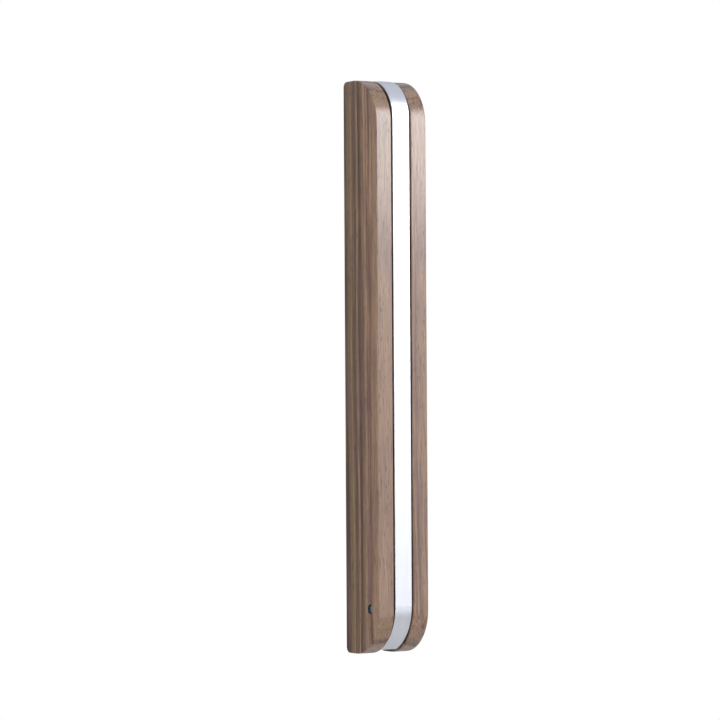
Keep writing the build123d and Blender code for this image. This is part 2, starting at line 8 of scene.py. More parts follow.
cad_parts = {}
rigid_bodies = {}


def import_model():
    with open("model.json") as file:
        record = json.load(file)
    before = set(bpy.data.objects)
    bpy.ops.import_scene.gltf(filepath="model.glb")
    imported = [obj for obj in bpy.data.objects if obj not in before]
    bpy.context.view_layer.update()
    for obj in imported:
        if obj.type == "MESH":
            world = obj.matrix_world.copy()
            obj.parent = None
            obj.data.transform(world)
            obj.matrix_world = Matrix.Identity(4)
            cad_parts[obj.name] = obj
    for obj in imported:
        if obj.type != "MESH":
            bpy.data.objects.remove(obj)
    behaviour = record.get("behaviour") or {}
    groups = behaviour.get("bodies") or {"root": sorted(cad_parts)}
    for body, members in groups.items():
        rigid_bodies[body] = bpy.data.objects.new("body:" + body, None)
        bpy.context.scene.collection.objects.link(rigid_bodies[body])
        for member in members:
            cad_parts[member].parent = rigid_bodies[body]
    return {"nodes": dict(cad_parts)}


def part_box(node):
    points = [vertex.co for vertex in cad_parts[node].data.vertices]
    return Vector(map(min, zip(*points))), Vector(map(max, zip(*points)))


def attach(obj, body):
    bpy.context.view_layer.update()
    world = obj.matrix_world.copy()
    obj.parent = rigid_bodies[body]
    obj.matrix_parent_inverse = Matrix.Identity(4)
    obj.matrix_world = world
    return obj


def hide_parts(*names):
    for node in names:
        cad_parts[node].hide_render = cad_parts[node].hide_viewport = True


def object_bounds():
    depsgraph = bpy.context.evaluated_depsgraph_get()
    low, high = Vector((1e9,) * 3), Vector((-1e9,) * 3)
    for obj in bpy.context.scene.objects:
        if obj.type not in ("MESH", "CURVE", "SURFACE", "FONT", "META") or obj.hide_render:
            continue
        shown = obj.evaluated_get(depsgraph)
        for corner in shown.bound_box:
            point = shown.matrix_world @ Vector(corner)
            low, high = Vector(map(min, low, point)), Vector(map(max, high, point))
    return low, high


bl_info = {
    "name": "Trouser Press",
    "version": (1, 0, 0),
    "blender": (4, 5, 0),
    "location": "3D View > Sidebar > Trouser Press",
    "description": "Finishes, felts and studio for a wall-hung trouser press of walnut and aluminium",
    "category": "Object",
}

# The frame holds every hard piece at its real size. It is loaded once, here.
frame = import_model()
CAD_NODES = frame["nodes"]
CAD_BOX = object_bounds()

MM = 0.001
PER_MM = 1 / MM  # turns Object coordinates, which are metres, into millimetres
MIX_FACTOR, MIX_A, MIX_B, MIX_RESULT = 0, 6, 7, 2  # a colour Mix node's sockets
MIX_NUMBER_A, MIX_NUMBER_B = 2, 3  # and those of a Mix node for numbers
VALUE, FROM_LOW, FROM_HIGH, TO_LOW, TO_HIGH = range(5)  # a Map Range node's sockets

# Which finish each hard piece has.
WALNUT_BOARDS = {
    # board: (the tree's heart in x and y in mm, where along the trunk it was cut in mm)
    "left_cheek": ((24.0, 205.0), 0.0),
    "right_cheek": ((-38.0, 190.0), 1900.0),
    "spine": ((90.0, 140.0), 3800.0),
    "press_bar": ((60.0, 120.0), 5700.0),
}
ALUMINIUM_BENT = ("arm_band",)
ALUMINIUM_MACHINED = ("bar_hinge", "lift_knob", "band_studs", "strike_rivets")
STEEL_GROUND = ("pivot_pin", "stop_pin", "jaw_pin")
ZINC_PLATED = ("strike_plate", "keeper_disc", "block_nuts", "magnet_screw", "hinge_screws", "knob_screw")
NICKEL_PLATED = ("catch_magnet", "bar_magnet")
ACETAL_MACHINED = ("pivot_block", "washer_left", "washer_right")

# The walnut's grain. A cell is a pattern's size across the board, through it and along it, in mm.
TRUNK_LEAN = (math.radians(0.5), math.radians(0.3), 0)
WANDER_CELL = (38, 38, 260)
WANDER_REACH = (5.0, 9.0, 0.0)  # how far it carries the rings, in mm
STREAK_CELL = (3.5, 3.5, 110)
CLOUD_CELL = (22, 14, 75)
# The real fibres and pores are a third as wide as these, too fine to show.
FIBRE_CELL = (0.9, 0.9, 30)
PORE_CELL = (0.8, 0.8, 11)
BAND_SHARE, FADE_SHARE = 0.6, 0.4  # of the tone of the wood
# Painted shade near the wall and painted light at the front, added to that tone
PAINTED_LIGHT_AT_FRONT, PAINTED_SHADE_AT_WALL = 0.09, -0.12  # added to that tone
OLIVE_PACE, OLIVE_START = 0.55, 40.0  # the olive bands' noise: per ring, and where it starts
# Painted shade in the pivot's bore: full up to the first distance, gone by the second
BORE_SHADE_FULL, BORE_SHADE_END = 0.15, 0.45  # beyond the pin's radius, in mm

CORNER_REACH = 0.1 * MM  # a vertex this near to both edges of a strip is its corner
CORNER_LIMIT = 0.9  # of a cell, so that a corner's rounding stops short of the next vertex

SOFTBOXES = {
    # name: (azimuth and elevation in degrees, distance, width and height in metres)
    "key_softbox": (31.5, 23.0, 2.4, 0.36, 1.42),
    "white_panel": (31.5, -4.5, 2.9, 1.2, 1.8),
    "left_softbox": (-75.0, 5.0, 3.0, 1.6, 1.6),
    "back_softbox": (185.0, 30.0, 3.0, 1.5, 1.5),
}


def linear(hex_colour):
    """An sRGB hex colour as linear red, green and blue."""
    channels = [int(hex_colour[i : i + 2], 16) / 255 for i in (1, 3, 5)]
    return [c / 12.92 if c <= 0.04045 else ((c + 0.055) / 1.055) ** 2.4 for c in channels]


def colour(name, description, hex_colour):
    """A colour that a user may change, with its default given as sRGB hex."""
    return FloatVectorProperty(
        name=name, description=description, subtype="COLOR", min=0, max=1, default=linear(hex_colour)
    )


# ---- settings ------------------------------------------------------------------------------------------


class PressColours(bpy.types.PropertyGroup):
    """The colours of the finishes."""

    walnut_dark: colour("Walnut, late wood", "Dark lines at the end of a season's growth", "#452B23")
    walnut_mid: colour("Walnut, body", "The general brown of the heartwood", "#735341")
    walnut_light: colour("Walnut, early wood", "Pale bands at the start of a season's growth", "#9A7963")
    walnut_olive: colour("Walnut, olive drift", "Greenish bands in the heartwood", "#816B47")
    walnut_purple: colour("Walnut, purple drift", "Purplish grey clouds in the heartwood", "#6F504E")
    walnut_pore: colour("Walnut, pores", "Open pores filled with lacquer", "#2C1E18")
    # Painted shade: the dark that the pivot's bore is painted with
    walnut_bore_shade: colour("Walnut, painted bore shade", "Inside the pivot's bore", "#2C2220")
    beech: colour("Beech", "Dowel wood", "#C49A6C")
    beech_fleck: colour("Beech, fleck", "Ray flecks in the dowel wood", "#9C6F45")
    aluminium: colour("Aluminium", "Satin anodised flat bar", "#E0E3EC")
    steel: colour("Steel", "Ground pins", "#BAC1CC")
    zinc: colour("Zinc plate", "Screws, nuts and plates", "#C5CAD0")
    nickel: colour("Nickel plate", "Magnets' cups", "#CFC8BB")
    brass: colour("Brass", "Turned screw cups", "#D9B25F")
    bronze: colour("Bronze", "Sintered bushes", "#A67A4B")
    acetal: colour("Acetal", "Block and washers", "#1B1B1C")
    rubber: colour("Rubber", "Sleeve on the stop pin", "#151515")
    felt: colour("Felt", "Body of the pressed wool", "#3E3F43")
    felt_pale: colour("Felt, pale fibre", "Loose pale fibres on the surface", "#6A6B70")
    floor: colour("Floor", "Plain pale floor", "#DCDAD8")


class PressSizes(bpy.types.PropertyGroup):
    """The sizes of what is modelled here, and of the patterns in the finishes."""

    felt_corner: FloatProperty(
        name="Felt corner",
        description="Radius that the strip's corners are cut to, if a felt cell has room for it",
        default=1.5 * MM,
        unit="LENGTH",
    )
    felt_edge: FloatProperty(
        name="Felt edge", description="Rounding of the strip's cut edges", default=0.45 * MM, unit="LENGTH"
    )
    felt_nap: FloatProperty(
        name="Felt nap", description="How far the nap stands unevenly", default=0.16 * MM, unit="LENGTH"
    )
    felt_cell: FloatProperty(
        name="Felt cell", description="Spacing of the strip's mesh", default=1.5 * MM, unit="LENGTH"
    )
    ring_width: FloatProperty(
        name="Growth ring", description="Mean width of a walnut growth ring", default=9.0 * MM, unit="LENGTH"
    )
    brush_line: FloatProperty(
        name="Brush line",
        description="Spacing of the brushed lines. The real ones are a tenth of this, too fine to show",
        default=0.6 * MM,
        unit="LENGTH",
    )


class StageSettings(bpy.types.PropertyGroup):
    """The camera, the lights and the floor."""

    camera_aim: FloatVectorProperty(
        name="Camera aim",
        description="Point at the middle of the picture",
        default=(-0.01139, 0.0, 0.00732),
        subtype="XYZ",
        unit="LENGTH",
    )
    camera_distance: FloatProperty(
        name="Camera distance", description="From the aim to the camera", default=3.345, unit="LENGTH"
    )
    camera_azimuth: FloatProperty(
        name="Camera azimuth",
        description="How far round from straight in front the camera stands",
        default=math.radians(-31.49),
        subtype="ANGLE",
    )
    camera_pitch: FloatProperty(
        name="Camera pitch",
        description="How far up the camera looks",
        default=math.radians(0.488),
        subtype="ANGLE",
    )
    camera_roll: FloatProperty(
        name="Camera roll",
        description="Turn of the camera about its own line",
        default=math.radians(0.337),
        subtype="ANGLE",
    )
    camera_lens: FloatProperty(
        name="Camera lens",
        description="Focal length in mm, on a sensor 36 mm wide",
        default=161.2,
        unit="CAMERA",
    )
    floor_drop: FloatProperty(
        name="Floor drop", description="From the middle of the press to the floor", default=1.6, unit="LENGTH"
    )
    floor_radius: FloatProperty(
        name="Floor radius", description="The floor has faded out by here", default=7.0, unit="LENGTH"
    )
    key_radiance: FloatProperty(name="Key", description="Radiance of the key softbox", default=15.0)
    panel_radiance: FloatProperty(
        name="Panel", description="Radiance of the white panel under the key", default=1.3
    )
    left_radiance: FloatProperty(name="Left", description="Radiance of the fill on the left", default=4.9)
    back_radiance: FloatProperty(name="Back", description="Radiance of the softbox behind", default=2.0)
    room_radiance: FloatProperty(name="Room", description="Radiance of the room in front", default=0.22)
    sky_radiance: FloatProperty(name="Ceiling", description="Radiance of the room above", default=0.74)
    wall_radiance: FloatProperty(name="Wall", description="Radiance of the room behind", default=0.26)


# ---- making ---------------------------------------------------------------------------------------------


def add_node(tree, kind, inputs=None, stops=None, **settings):
    """Adds a shader node. inputs maps a socket's name or number to a value or to another node's output."""
    made = tree.nodes.new(kind)
    for name, value in settings.items():
        setattr(made, name, value)
    for socket, value in (inputs or {}).items():
        if isinstance(value, bpy.types.NodeSocket):
            tree.links.new(value, made.inputs[socket])
        else:
            made.inputs[socket].default_value = value
    if stops:
        while len(made.color_ramp.elements) < len(stops):
            made.color_ramp.elements.new(1.0)
        for element, (position, rgb) in zip(made.color_ramp.elements, stops):
            element.position = position
            element.color = (*rgb, 1) if hasattr(rgb, "__len__") else (rgb, rgb, rgb, 1)
    return made


def start_material(name):
    """An empty material. Returns it, its node tree and its surface shader."""
    material = bpy.data.materials.new(name)
    material.use_nodes = True
    tree = material.node_tree
    tree.nodes.clear()
    shader = add_node(tree, "ShaderNodeBsdfPrincipled")
    add_node(tree, "ShaderNodeOutputMaterial", {"Surface": shader.outputs["BSDF"]})
    return material, tree, shader


def in_mm(tree, location=(0, 0, 0), rotation=(0, 0, 0), cell=(1, 1, 1)):
    """Object coordinates counted in cells of a given size in millimetres, after a shift in millimetres."""
    place = add_node(tree, "ShaderNodeTexCoord").outputs["Object"]
    moved = add_node(
        tree,
        "ShaderNodeMapping",
        {"Vector": place, "Location": location, "Rotation": rotation, "Scale": (PER_MM,) * 3},
    )
    return add_node(
        tree, "ShaderNodeVectorMath", {0: moved.outputs["Vector"], 1: cell}, operation="DIVIDE"
    ).outputs["Vector"]


def paint(material, *names):
    """Puts a material on hard pieces, in the slots that they already have."""
    for name in names:
        piece = CAD_NODES[name]
        if not piece.material_slots:
            piece.data.materials.append(None)
        for slot in piece.material_slots:
            slot.material = material


def deselect():
    """Leaves nothing selected, so that what is made next is worked on alone."""
    for other in bpy.context.view_layer.objects:
        other.select_set(False)


# ---- finishes -------------------------------------------------------------------------------------------


def walnut(board):
    """Black walnut, planed, sanded and sprayed with satin lacquer.

    Straight brown and olive bands where the board is cut on the quarter, wandering ones where it is cut on
    the flat, dark pores drawn out along the grain, and the soft wide gloss of a satin coat.
    """
    colours = bpy.context.scene.press_colours
    sizes = bpy.context.scene.press_sizes
    (heart_x, heart_y), along = WALNUT_BOARDS[board]
    material, tree, shader = start_material(f"walnut_satin_lacquer_{board}")

    # The trunk's rings: how far a point is from the heart, which wanders and leans a little.
    trunk = in_mm(tree, location=(-heart_x, -heart_y, along), rotation=TRUNK_LEAN)
    slow = add_node(tree, "ShaderNodeVectorMath", {0: trunk, 1: WANDER_CELL}, operation="DIVIDE")
    wander = add_node(
        tree, "ShaderNodeTexNoise", {"Vector": slow.outputs["Vector"], "Scale": 1.0, "Detail": 2.0}
    )
    sway = add_node(
        tree,
        "ShaderNodeVectorMath",
        {0: wander.outputs["Color"], 1: WANDER_REACH, 2: trunk},
        operation="MULTIPLY_ADD",
    )
    flat = add_node(
        tree, "ShaderNodeVectorMath", {0: sway.outputs["Vector"], 1: (1, 1, 0)}, operation="MULTIPLY"
    )
    radius = add_node(
        tree, "ShaderNodeVectorMath", {0: flat.outputs["Vector"]}, operation="LENGTH"
    ).outputs["Value"]
    rings = add_node(
        tree, "ShaderNodeMath", {0: radius, 1: sizes.ring_width / MM}, operation="DIVIDE"
    ).outputs[0]
    bands = add_node(
        tree,
        "ShaderNodeTexNoise",
        {"W": rings, "Scale": 1.0, "Detail": 4.0, "Roughness": 0.62},
        noise_dimensions="1D",
    )
    # Each band fades in and out along the grain.
    grain = add_node(
        tree, "ShaderNodeVectorMath", {0: sway.outputs["Vector"], 1: STREAK_CELL}, operation="DIVIDE"
    )
    fade = add_node(
        tree,
        "ShaderNodeTexNoise",
        {"Vector": grain.outputs["Vector"], "Scale": 1.0, "Detail": 3.0, "Roughness": 0.6},
    )
    tone = add_node(tree, "ShaderNodeMath", {0: fade.outputs[0], 1: FADE_SHARE}, operation="MULTIPLY")
    tone = add_node(
        tree,
        "ShaderNodeMath",
        {0: bands.outputs[0], 1: BAND_SHARE, 2: tone.outputs[0]},
        operation="MULTIPLY_ADD",
    )
    # Painted shade and light: the wood is painted darker near the wall, where shade falls, and paler towards
    # the front.
    depth = add_node(tree, "ShaderNodeSeparateXYZ", {"Vector": in_mm(tree)}).outputs["Y"]
    paler = add_node(
        tree,
        "ShaderNodeMapRange",
        {
            VALUE: depth,
            FROM_LOW: CAD_BOX[0][1] * PER_MM,
            FROM_HIGH: 0.0,
            TO_LOW: PAINTED_LIGHT_AT_FRONT,
            TO_HIGH: PAINTED_SHADE_AT_WALL,
        },
    )
    tone = add_node(tree, "ShaderNodeMath", {0: tone.outputs[0], 1: paler.outputs[0]}, operation="ADD")
    body = add_node(
        tree,
        "ShaderNodeValToRGB",
        {"Fac": tone.outputs[0]},
        stops=[(0.40, colours.walnut_dark), (0.49, colours.walnut_mid), (0.58, colours.walnut_light)],
    ).outputs["Color"]

    # Olive bands follow the rings, and purplish clouds lie across several of them.
    drift = add_node(
        tree, "ShaderNodeMath", {0: rings, 1: OLIVE_PACE, 2: OLIVE_START}, operation="MULTIPLY_ADD"
    )
    olive = add_node(
        tree,
        "ShaderNodeTexNoise",
        {"W": drift.outputs[0], "Scale": 1.0, "Detail": 2.0},
        noise_dimensions="1D",
    )
    olive = add_node(
        tree,
        "ShaderNodeMapRange",
        {VALUE: olive.outputs[0], FROM_LOW: 0.45, FROM_HIGH: 0.65, TO_LOW: 0.0, TO_HIGH: 0.6},
    )
    body = add_node(
        tree,
        "ShaderNodeMix",
        {MIX_FACTOR: olive.outputs[0], MIX_A: body, MIX_B: (*colours.walnut_olive, 1)},
        data_type="RGBA",
    ).outputs[MIX_RESULT]
    wide = add_node(tree, "ShaderNodeVectorMath", {0: trunk, 1: CLOUD_CELL}, operation="DIVIDE")
    clouds = add_node(
        tree, "ShaderNodeTexNoise", {"Vector": wide.outputs["Vector"], "Scale": 1.0, "Detail": 2.0}
    )
    purple = add_node(
        tree,
        "ShaderNodeMapRange",
        {VALUE: clouds.outputs[0], FROM_LOW: 0.48, FROM_HIGH: 0.7, TO_LOW: 0.0, TO_HIGH: 0.45},
    )
    body = add_node(
        tree,
        "ShaderNodeMix",
        {MIX_FACTOR: purple.outputs[0], MIX_A: body, MIX_B: (*colours.walnut_purple, 1)},
        data_type="RGBA",
    ).outputs[MIX_RESULT]

    # Fine fibres shade the wood, and short dark pores lie along them.
    thin = add_node(tree, "ShaderNodeVectorMath", {0: trunk, 1: FIBRE_CELL}, operation="DIVIDE")
    fibre = add_node(
        tree, "ShaderNodeTexNoise", {"Vector": thin.outputs["Vector"], "Scale": 1.0, "Detail": 2.0}
    )
    shade = add_node(
        tree,
        "ShaderNodeMapRange",
        {VALUE: fibre.outputs[0], FROM_LOW: 0.28, FROM_HIGH: 0.72, TO_LOW: 0.72, TO_HIGH: 1.26},
    )
    body = add_node(
        tree, "ShaderNodeVectorMath", {0: body, 1: shade.outputs[0]}, operation="MULTIPLY"
    ).outputs["Vector"]
    short = add_node(tree, "ShaderNodeVectorMath", {0: trunk, 1: PORE_CELL}, operation="DIVIDE")
    pores = add_node(
        tree, "ShaderNodeTexNoise", {"Vector": short.outputs["Vector"], "Scale": 1.0, "Detail": 1.0}
    )
    pores = add_node(
        tree,
        "ShaderNodeMapRange",
        {VALUE: pores.outputs[0], FROM_LOW: 0.62, FROM_HIGH: 0.72, TO_LOW: 0.0, TO_HIGH: 0.75},
    )
    body = add_node(
        tree,
        "ShaderNodeMix",
        {MIX_FACTOR: pores.outputs[0], MIX_A: body, MIX_B: (*colours.walnut_pore, 1)},
        data_type="RGBA",
    ).outputs[MIX_RESULT]

    # Painted shade: the pivot's bore is painted dark, up to its eased rim, for the shade that falls in the
    # hole.
    pin_low, pin_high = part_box("pivot_pin")
    axis = (pin_low + pin_high) / 2 * PER_MM
    pin_radius = (pin_high.z - pin_low.z) / 2 * PER_MM
    from_pin = add_node(
        tree,
        "ShaderNodeVectorMath",
        {0: in_mm(tree, location=(0, -axis.y, -axis.z)), 1: (0, 1, 1)},
        operation="MULTIPLY",
    )
    from_pin = add_node(tree, "ShaderNodeVectorMath", {0: from_pin.outputs["Vector"]}, operation="LENGTH")
    bore_shade = add_node(
        tree,
        "ShaderNodeMapRange",
        {
            VALUE: from_pin.outputs["Value"],
            FROM_LOW: pin_radius + BORE_SHADE_FULL,
            FROM_HIGH: pin_radius + BORE_SHADE_END,
            TO_LOW: 0.95,
            TO_HIGH: 0.0,
        },
    )
    body = add_node(
        tree,
        "ShaderNodeMix",
        {MIX_FACTOR: bore_shade.outputs[0], MIX_A: body, MIX_B: (*colours.walnut_bore_shade, 1)},
        data_type="RGBA",
    ).outputs[MIX_RESULT]

    rough = add_node(
        tree,
        "ShaderNodeMapRange",
        {VALUE: fibre.outputs[0], FROM_LOW: 0.2, FROM_HIGH: 0.8, TO_LOW: 0.38, TO_HIGH: 0.48},
    )
    height = add_node(
        tree, "ShaderNodeMath", {0: fibre.outputs[0], 1: pores.outputs[0]}, operation="SUBTRACT"
    )
    bump = add_node(
        tree, "ShaderNodeBump", {"Height": height.outputs[0], "Strength": 0.25, "Distance": 0.06 * MM}
    )
    tree.links.new(body, shader.inputs["Base Color"])
    tree.links.new(rough.outputs[0], shader.inputs["Roughness"])
    tree.links.new(bump.outputs["Normal"], shader.inputs["Normal"])
    shader.inputs["IOR"].default_value = 1.52
    shader.inputs["Coat Weight"].default_value = 0.7
    shader.inputs["Coat Roughness"].default_value = 0.2
    shader.inputs["Coat IOR"].default_value = 1.5
    return material


def beech():
    """Beech dowel, turned and left bare: pale, matt, with short brown flecks along it."""
    colours = bpy.context.scene.press_colours
    material, tree, shader = start_material("beech_turned_bare")
    flecks = add_node(
        tree, "ShaderNodeTexNoise", {"Vector": in_mm(tree, cell=(5.0, 0.7, 0.7)), "Scale": 1.0, "Detail": 3.0}
    )
    body = add_node(
        tree,
        "ShaderNodeValToRGB",
        {"Fac": flecks.outputs[0]},
        stops=[(0.38, colours.beech_fleck), (0.56, colours.beech)],
    )
    bump = add_node(
        tree, "ShaderNodeBump", {"Height": flecks.outputs[0], "Strength": 0.3, "Distance": 0.08 * MM}
    )
    tree.links.new(body.outputs["Color"], shader.inputs["Base Color"])
    tree.links.new(bump.outputs["Normal"], shader.inputs["Normal"])
    shader.inputs["Roughness"].default_value = 0.62
    return material


def metal(name, rgb, cell, roughness, variation, depth):
    """A metal with a pattern of a given cell, in mm, in its gloss and height and a little in its colour."""
    material, tree, shader = start_material(name)
    pattern = add_node(
        tree,
        "ShaderNodeTexNoise",
        {"Vector": in_mm(tree, cell=cell), "Scale": 1.0, "Detail": 3.0, "Roughness": 0.65},
    ).outputs[0]
    smudge = add_node(
        tree,
        "ShaderNodeTexNoise",
        {"Vector": in_mm(tree, cell=(14.0, 14.0, 22.0)), "Scale": 1.0, "Detail": 2.0},
    ).outputs[0]
    tint = add_node(
        tree,
        "ShaderNodeValToRGB",
        {"Fac": pattern},
        stops=[(0.25, [c * 0.86 for c in rgb]), (0.75, [min(1.0, c * 1.06) for c in rgb])],
    )
    uneven = add_node(tree, "ShaderNodeMath", {0: pattern, 1: 0.6, 2: smudge}, operation="MULTIPLY_ADD")
    gloss = add_node(
        tree,
        "ShaderNodeMapRange",
        {
            VALUE: uneven.outputs[0],
            FROM_LOW: 0.5,
            FROM_HIGH: 1.1,
            TO_LOW: roughness - variation,
            TO_HIGH: roughness + variation,
        },
    )
    bump = add_node(tree, "ShaderNodeBump", {"Height": pattern, "Strength": 0.5, "Distance": depth * MM})
    tree.links.new(tint.outputs["Color"], shader.inputs["Base Color"])
    tree.links.new(gloss.outputs[0], shader.inputs["Roughness"])
    tree.links.new(bump.outputs["Normal"], shader.inputs["Normal"])
    shader.inputs["Metallic"].default_value = 1.0
    return material


def acetal():
    """Acetal, machined from bar: near black, with the cutter's fine ridges catching a soft gloss."""
    colours = bpy.context.scene.press_colours
    material, tree, shader = start_material("acetal_machined")
    ridges = add_node(
        tree,
        "ShaderNodeTexNoise",
        {"Vector": in_mm(tree, cell=(0.35, 9.0, 9.0)), "Scale": 1.0, "Detail": 2.0},
    ).outputs[0]
    tint = add_node(
        tree,
        "ShaderNodeValToRGB",
        {"Fac": ridges},
        stops=[(0.3, [c * 0.75 for c in colours.acetal]), (0.7, [c * 1.5 for c in colours.acetal])],
    )
    gloss = add_node(
        tree,
        "ShaderNodeMapRange",
        {VALUE: ridges, FROM_LOW: 0.25, FROM_HIGH: 0.75, TO_LOW: 0.34, TO_HIGH: 0.5},
    )
    bump = add_node(tree, "ShaderNodeBump", {"Height": ridges, "Strength": 0.4, "Distance": 0.05 * MM})
    tree.links.new(tint.outputs["Color"], shader.inputs["Base Color"])
    tree.links.new(gloss.outputs[0], shader.inputs["Roughness"])
    tree.links.new(bump.outputs["Normal"], shader.inputs["Normal"])
    shader.inputs["IOR"].default_value = 1.48
    return material


def rubber():
    """Moulded rubber: black, with the dull even grain of a blasted mould."""
    colours = bpy.context.scene.press_colours
    material, tree, shader = start_material("rubber_moulded")
    grain = add_node(
        tree, "ShaderNodeTexNoise", {"Vector": in_mm(tree, cell=(0.5, 0.5, 0.5)), "Scale": 1.0, "Detail": 3.0}
    ).outputs[0]
    tint = add_node(
        tree,
        "ShaderNodeValToRGB",
        {"Fac": grain},
        stops=[(0.3, [c * 0.7 for c in colours.rubber]), (0.7, [c * 2.2 for c in colours.rubber])],
    )
    bump = add_node(tree, "ShaderNodeBump", {"Height": grain, "Strength": 0.6, "Distance": 0.08 * MM})
    tree.links.new(tint.outputs["Color"], shader.inputs["Base Color"])
    tree.links.new(bump.outputs["Normal"], shader.inputs["Normal"])
    shader.inputs["Roughness"].default_value = 0.72
    return material


def felt():
    """Pressed wool felt: charcoal with paler tangled fibres, quite matt, with a faint bloom at its edges."""
    colours = bpy.context.scene.press_colours
    material, tree, shader = start_material("wool_felt_pressed")
    tangle = add_node(
        tree,
        "ShaderNodeTexNoise",
        {
            "Vector": in_mm(tree, cell=(0.9, 0.9, 1.3)),
            "Scale": 1.0,
            "Detail": 5.0,
            "Roughness": 0.7,
            "Distortion": 1.6,
        },
    ).outputs[0]
    wads = add_node(
        tree,
        "ShaderNodeTexNoise",
        {"Vector": in_mm(tree, cell=(7.0, 7.0, 10.0)), "Scale": 1.0, "Detail": 2.0},
    ).outputs[0]
    mixed = add_node(tree, "ShaderNodeMath", {0: wads, 1: 0.4, 2: tangle}, operation="MULTIPLY_ADD")
    tint = add_node(
        tree,
        "ShaderNodeValToRGB",
        {"Fac": mixed.outputs[0]},
        stops=[(0.5, [c * 0.6 for c in colours.felt]), (0.7, colours.felt), (0.92, colours.felt_pale)],
    )
    bump = add_node(tree, "ShaderNodeBump", {"Height": tangle, "Strength": 0.8, "Distance": 0.3 * MM})
    tree.links.new(tint.outputs["Color"], shader.inputs["Base Color"])
    tree.links.new(bump.outputs["Normal"], shader.inputs["Normal"])
    shader.inputs["Roughness"].default_value = 0.95
    shader.inputs["Sheen Weight"].default_value = 0.35
    shader.inputs["Sheen Roughness"].default_value = 0.5
    return material


class PRESS_OT_walnut(bpy.types.Operator):
    """Give the cheeks, the spine and the press bar their lacquered walnut, each cut from its own place"""

    bl_idname = "trouser_press.walnut"
    bl_label = "Finish the Walnut Boards"

    def execute(self, context):
        for board in WALNUT_BOARDS:
            paint(walnut(board), board)
        paint(beech(), "spine_dowels")
        return {"FINISHED"}


class PRESS_OT_metalwork(bpy.types.Operator):
    """Give the band, pins, plates, screws, magnets, cups and bushes their metals"""

    bl_idname = "trouser_press.metalwork"
    bl_label = "Finish the Metalwork"

    def execute(self, context):
        colours = context.scene.press_colours
        line = context.scene.press_sizes.brush_line / MM
        # Brushed along its length, then anodised: fine lines round the bends, under a soft white gloss.
        paint(
            metal("aluminium_brushed_anodised", colours.aluminium, (line, 60.0, 60.0), 0.38, 0.03, 0.01),
            *ALUMINIUM_BENT,
        )
        # Machined and blasted: an even, faintly grainy silver.
        paint(
            metal("aluminium_machined_blasted", colours.aluminium, (0.5, 0.5, 0.5), 0.38, 0.06, 0.02),
            *ALUMINIUM_MACHINED,
        )
        # Ground, then its ends faced and blasted: a cold blue-grey with a wide dull gloss.
        paint(
            metal("steel_ground_blasted", colours.steel, (0.4, 12.0, 12.0), 0.45, 0.05, 0.01), *STEEL_GROUND
        )
        # Bright zinc over pressed steel: bluish, and a little cloudy.
        paint(metal("steel_zinc_plated", colours.zinc, (1.2, 1.2, 1.2), 0.30, 0.08, 0.01), *ZINC_PLATED)
        # Nickel over a drawn cup: warm and bright, with faint draw lines.
        paint(metal("steel_nickel_plated", colours.nickel, (0.8, 0.8, 4.0), 0.18, 0.05, 0.01), *NICKEL_PLATED)
        # Turned and lacquered: yellow, with rings left by the tool.
        paint(metal("brass_turned", colours.brass, (3.0, 0.4, 3.0), 0.22, 0.06, 0.02), "screw_cups")
        # Pressed powder: brown, open grained and dull with oil.
        paint(
            metal("bronze_sintered", colours.bronze, (0.45, 0.45, 0.45), 0.52, 0.10, 0.06),
            "bush_left",
            "bush_right",
        )
        return {"FINISHED"}


class PRESS_OT_plastics(bpy.types.Operator):
    """Give the pivot block, its washers and the stop's sleeve their black plastics"""

    bl_idname = "trouser_press.plastics"
    bl_label = "Finish the Plastics"

    def execute(self, context):
        paint(acetal(), *ACETAL_MACHINED)
        paint(rubber(), "stop_sleeve")
        return {"FINISHED"}


